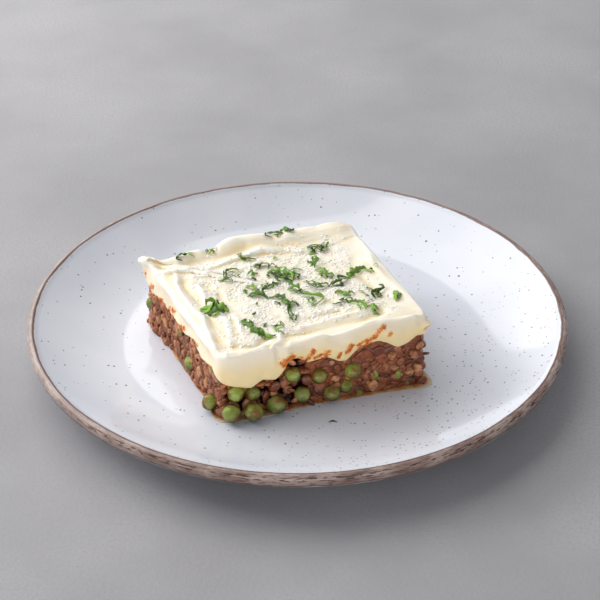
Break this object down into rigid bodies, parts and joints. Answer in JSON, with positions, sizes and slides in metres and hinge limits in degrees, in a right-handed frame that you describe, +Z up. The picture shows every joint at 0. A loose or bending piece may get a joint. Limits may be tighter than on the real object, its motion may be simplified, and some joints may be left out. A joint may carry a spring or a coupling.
{
  "type": "shepherds pie",
  "caption": "Square slice of shepherd's pie, mashed potato over a bed of lentils and peas, on a round speckled coupe plate with a brown rim.",
  "frame": {"origin": "on the plate's axis, at the underside of its foot ring", "axes": "+Z up, +X to the right of the plate and +Y to its back; the slice lies turned about 17 degrees on the plate and towards its front"},
  "size_m": [0.265, 0.265, 0.0461],
  "materials": {
    "speckled_glaze": "glossy off-white glaze with brown specks and an unevenly browned rim",
    "mashed_potato": null,
    "lentil_filling": null,
    "pea_skin": null
  },
  "bodies": {
    "root": {"plate": "speckled_glaze", "filling": "lentil_filling", "mash": "mashed_potato", "pea_01": "pea_skin", "pea_02": "pea_skin", "pea_03": "pea_skin", "pea_04": "pea_skin", "pea_05": "pea_skin", "pea_06": "pea_skin", "pea_07": "pea_skin", "pea_08": "pea_skin", "pea_09": "pea_skin", "pea_10": "pea_skin", "pea_11": "pea_skin", "pea_12": "pea_skin", "pea_13": "pea_skin", "pea_14": "pea_skin", "pea_15": "pea_skin", "pea_16": "pea_skin", "pea_17": "pea_skin", "pea_18": "pea_skin", "pea_19": "pea_skin", "pea_20": "pea_skin"}
  },
  "joints": []
}
